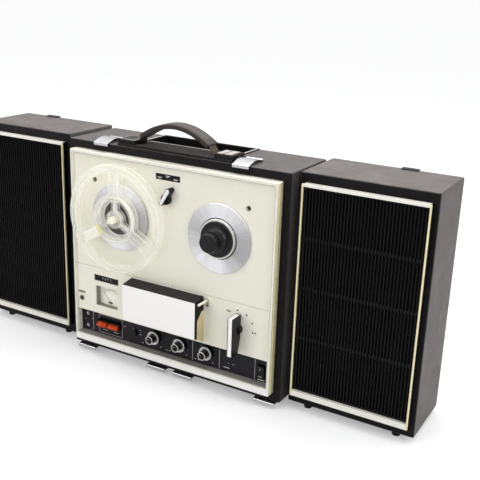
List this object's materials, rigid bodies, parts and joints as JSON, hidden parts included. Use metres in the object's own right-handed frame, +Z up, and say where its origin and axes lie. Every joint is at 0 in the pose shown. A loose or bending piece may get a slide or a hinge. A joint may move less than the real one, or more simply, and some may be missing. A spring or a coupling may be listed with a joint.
{
  "type": "portable tape recorder",
  "caption": "Portable open-reel tape recorder in a carrying case, with a reel, head cover, level meter, dials and lever, and its lid halves standing beside it as loudspeakers.",
  "frame": {"origin": "middle of the footprint of recorder and loudspeakers, on the surface that they stand on", "axes": "+X to the right seen from the front, +Y to the back, +Z up; the deck faces -Y"},
  "size_m": [0.841, 0.1824, 0.4195],
  "materials": {
    "black_vinyl": "fine-grained black leathercloth over a wooden box",
    "back_board": "matt black board with vent slots",
    "ivory_moulding": "satin ivory moulding, a little yellowed",
    "ivory_plate": "satin ivory enamel",
    "black_strip": "satin black with thin pale lines",
    "grey_lip": "brushed, grey",
    "chassis_steel": "zinc-plated pressed steel",
    "well_metal": "pressed tray with a pale satin rim",
    "chrome_plate": "bright plated, lightly worn",
    "black_plastic": "semi-gloss black moulding",
    "band_steel": "bare spring steel, a little bronzed",
    "grip_plastic": "matt dark grey-brown grip",
    "spun_aluminium": "spun, with circular brushing",
    "clear_plastic": "clear polystyrene, slightly cream",
    "black_rubber": "matt black rubber",
    "head_steel": "polished steel",
    "cream_plastic": "smooth cream moulding",
    "white_plate": "smooth white enamel",
    "transformer_iron": "varnished iron stack with a wound coil",
    "circuit_board": "brown phenolic board",
    "meter_white": "white scale under a clear window",
    "knob_metal": "turned, bright edge on a dark skirt",
    "orange_plastic": "orange-red key tops",
    "speaker_trim": "white frame, a little yellowed",
    "grille_black": "black upright slats",
    "driver_metal": "black frame and paper cone"
  },
  "bodies": {
    "deck": {"case_shell": "black_vinyl", "back_cover": "back_board", "front_bezel": "ivory_moulding", "upper_deck_plate": "ivory_plate", "lower_panel": "ivory_moulding", "control_strip": "black_strip", "sill_lip": "grey_lip", "chassis_plate": "chassis_steel", "jack_well": "well_metal", "lid_clip_1": "chrome_plate", "lid_clip_2": "chrome_plate", "lid_clip_3": "chrome_plate", "lid_clip_4": "chrome_plate", "handle_base": "black_plastic", "head_stack": "head_steel", "motor": "chassis_steel", "drive_belt": "black_rubber", "power_transformer": "transformer_iron", "amplifier_board": "circuit_board", "vu_meter": "meter_white", "tape_counter": "black_plastic", "mic_jack_pair": "black_plastic", "monitor_jack": "chrome_plate"},
    "head_housing_lid": {"head_cover": "black_plastic", "head_face_plate": "white_plate"},
    "supply_table": {"supply_turntable": "spun_aluminium"},
    "reel": {"supply_reel": "clear_plastic"},
    "takeup_table": {"takeup_turntable": "spun_aluminium"},
    "reel_cap": {"takeup_cap": "black_rubber"},
    "capstan": {"capstan_flywheel": "chassis_steel"},
    "pulley": {"motor_pulley": "head_steel"},
    "pressure_arm": {"pinch_arm": "chassis_steel"},
    "pressure_roller": {"pinch_roller": "black_rubber"},
    "tension_arm": {"tension_pin": "cream_plastic"},
    "number_wheels": {"counter_wheels": "black_plastic"},
    "meter_needle": {"vu_needle": "black_plastic"},
    "lever": {"function_lever": "black_plastic"},
    "selector": {"speed_selector": "black_plastic"},
    "ring_knob_1": {"left_ring_knob": "knob_metal"},
    "inner_knob_1": {"left_inner_knob": "black_plastic"},
    "ring_knob_2": {"middle_ring_knob": "knob_metal"},
    "inner_knob_2": {"middle_inner_knob": "black_plastic"},
    "ring_knob_3": {"right_ring_knob": "knob_metal"},
    "inner_knob_3": {"right_inner_knob": "black_plastic"},
    "left_key": {"record_key_left": "orange_plastic"},
    "right_key": {"record_key_right": "orange_plastic"},
    "switch_slider": {"slide_switch": "black_plastic"},
    "rocker": {"power_rocker": "black_plastic"},
    "carry_handle": {"handle_band": "band_steel", "handle_grip": "grip_plastic"},
    "left_latch": {"top_latch_left": "chrome_plate"},
    "right_latch": {"top_latch_right": "chrome_plate"},
    "left_speaker": {"left_speaker_cabinet": "black_vinyl", "left_speaker_trim": "speaker_trim", "left_speaker_grille": "grille_black", "left_speaker_driver": "driver_metal"},
    "right_speaker": {"right_speaker_cabinet": "black_vinyl", "right_speaker_trim": "speaker_trim", "right_speaker_grille": "grille_black", "right_speaker_driver": "driver_metal"}
  },
  "joints": [
    {"name": "head_cover_off", "type": "slide", "parent": "deck", "child": "head_housing_lid", "axis": [0, -1, 0], "range_m": [0, 0.03]},
    {"name": "supply_spin", "type": "hinge", "parent": "deck", "child": "supply_table", "pos_m": [-0.08295, -0.0568, 0.262], "axis": [0, 1, 0], "continuous": true},
    {"name": "reel_off", "type": "slide", "parent": "supply_table", "child": "reel", "axis": [0, -1, 0], "range_m": [0, 0.04]},
    {"name": "takeup_spin", "type": "hinge", "parent": "deck", "child": "takeup_table", "pos_m": [0.10305, -0.0568, 0.262], "axis": [0, 1, 0], "continuous": true},
    {"name": "cap_off", "type": "slide", "parent": "takeup_table", "child": "reel_cap", "axis": [0, -1, 0], "range_m": [0, 0.04]},
    {"name": "capstan_spin", "type": "hinge", "parent": "deck", "child": "capstan", "pos_m": [0.04305, -0.0355, 0.128], "axis": [0, 1, 0], "continuous": true},
    {"name": "pulley_spin", "type": "hinge", "parent": "deck", "child": "pulley", "pos_m": [-0.04695, -0.0255, 0.116], "axis": [0, 1, 0], "continuous": true},
    {"name": "pinch_arm_swing", "type": "hinge", "parent": "deck", "child": "pressure_arm", "pos_m": [0.05905, -0.0568, 0.104], "axis": [0, 1, 0], "range_deg": [-12, 4.4]},
    {"name": "pinch_roller_spin", "type": "hinge", "parent": "pressure_arm", "child": "pressure_roller", "pos_m": [0.05905, -0.0668, 0.128], "axis": [0, 1, 0], "continuous": true},
    {"name": "tension_arm_swing", "type": "hinge", "parent": "deck", "child": "tension_arm", "pos_m": [0.10905, -0.0528, 0.156], "axis": [0, 1, 0], "range_deg": [-14, 0], "stiffness_Nm_per_rad": 0.02, "springref_deg": 5.73},
    {"name": "counter_spin", "type": "hinge", "parent": "deck", "child": "number_wheels", "pos_m": [-0.11685, -0.0473, 0.1458], "axis": [1, 0, 0], "continuous": true},
    {"name": "needle_swing", "type": "hinge", "parent": "deck", "child": "meter_needle", "pos_m": [-0.1162, -0.0458, 0.101], "axis": [0, 1, 0], "range_deg": [0, 80], "stiffness_Nm_per_rad": 0.0001, "springref_deg": -5.73},
    {"name": "lever_turn", "type": "hinge", "parent": "deck", "child": "lever", "pos_m": [0.14105, -0.0568, 0.124], "axis": [0, 1, 0], "range_deg": [-33, 92]},
    {"name": "selector_turn", "type": "hinge", "parent": "deck", "child": "selector", "pos_m": [0.00805, -0.0568, 0.3075], "axis": [0, 1, 0], "range_deg": [-58, 0]},
    {"name": "ring_knob_1_turn", "type": "hinge", "parent": "deck", "child": "ring_knob_1", "pos_m": [-0.01995, -0.0488, 0.0645], "axis": [0, 1, 0], "range_deg": [-150, 150]},
    {"name": "inner_knob_1_turn", "type": "hinge", "parent": "deck", "child": "inner_knob_1", "pos_m": [-0.01995, -0.0488, 0.0645], "axis": [0, 1, 0], "range_deg": [-150, 150]},
    {"name": "ring_knob_2_turn", "type": "hinge", "parent": "deck", "child": "ring_knob_2", "pos_m": [0.03105, -0.0488, 0.0645], "axis": [0, 1, 0], "range_deg": [-150, 150]},
    {"name": "inner_knob_2_turn", "type": "hinge", "parent": "deck", "child": "inner_knob_2", "pos_m": [0.03105, -0.0488, 0.0645], "axis": [0, 1, 0], "range_deg": [-150, 150]},
    {"name": "ring_knob_3_turn", "type": "hinge", "parent": "deck", "child": "ring_knob_3", "pos_m": [0.08205, -0.0488, 0.0645], "axis": [0, 1, 0], "range_deg": [-150, 150]},
    {"name": "inner_knob_3_turn", "type": "hinge", "parent": "deck", "child": "inner_knob_3", "pos_m": [0.08205, -0.0488, 0.0645], "axis": [0, 1, 0], "range_deg": [-150, 150]},
    {"name": "left_key_press", "type": "hinge", "parent": "deck", "child": "left_key", "pos_m": [-0.12685, -0.0398, 0.064], "axis": [1, 0, 0], "range_deg": [0, 8], "stiffness_Nm_per_rad": 0.2, "springref_deg": -5.73},
    {"name": "right_key_press", "type": "hinge", "parent": "deck", "child": "right_key", "pos_m": [-0.10375, -0.0398, 0.064], "axis": [1, 0, 0], "range_deg": [0, 8], "stiffness_Nm_per_rad": 0.2, "springref_deg": -5.73},
    {"name": "switch_slide", "type": "slide", "parent": "deck", "child": "switch_slider", "axis": [0, 0, 1], "range_m": [0, 0.008]},
    {"name": "rocker_tip", "type": "hinge", "parent": "deck", "child": "rocker", "pos_m": [0.18005, -0.0468, 0.058], "axis": [1, 0, 0], "range_deg": [-16, 0]},
    {"name": "handle_shift", "type": "slide", "parent": "deck", "child": "carry_handle", "axis": [1, 0, 0], "range_m": [0, 0.006]},
    {"name": "left_latch_lift", "type": "hinge", "parent": "deck", "child": "left_latch", "pos_m": [-0.12695, -0.0078, 0.3785], "axis": [1, 0, 0], "range_deg": [-95, 0]},
    {"name": "right_latch_lift", "type": "hinge", "parent": "deck", "child": "right_latch", "pos_m": [0.13155, -0.0078, 0.3785], "axis": [1, 0, 0], "range_deg": [-95, 0]},
    {"name": "left_speaker_off", "type": "slide", "parent": "deck", "child": "left_speaker", "axis": [-1, 0, 0], "range_m": [0, 0.15]},
    {"name": "right_speaker_off", "type": "slide", "parent": "deck", "child": "right_speaker", "axis": [1, 0, 0], "range_m": [0, 0.15]}
  ],
  "couplings": [
    {"joint": "pulley_spin", "follows": "capstan_spin", "ratio": 6.3333},
    {"joint": "pinch_arm_swing", "follows": "lever_turn", "ratio": -0.13},
    {"joint": "counter_spin", "follows": "takeup_spin", "ratio": 0.1}
  ]
}
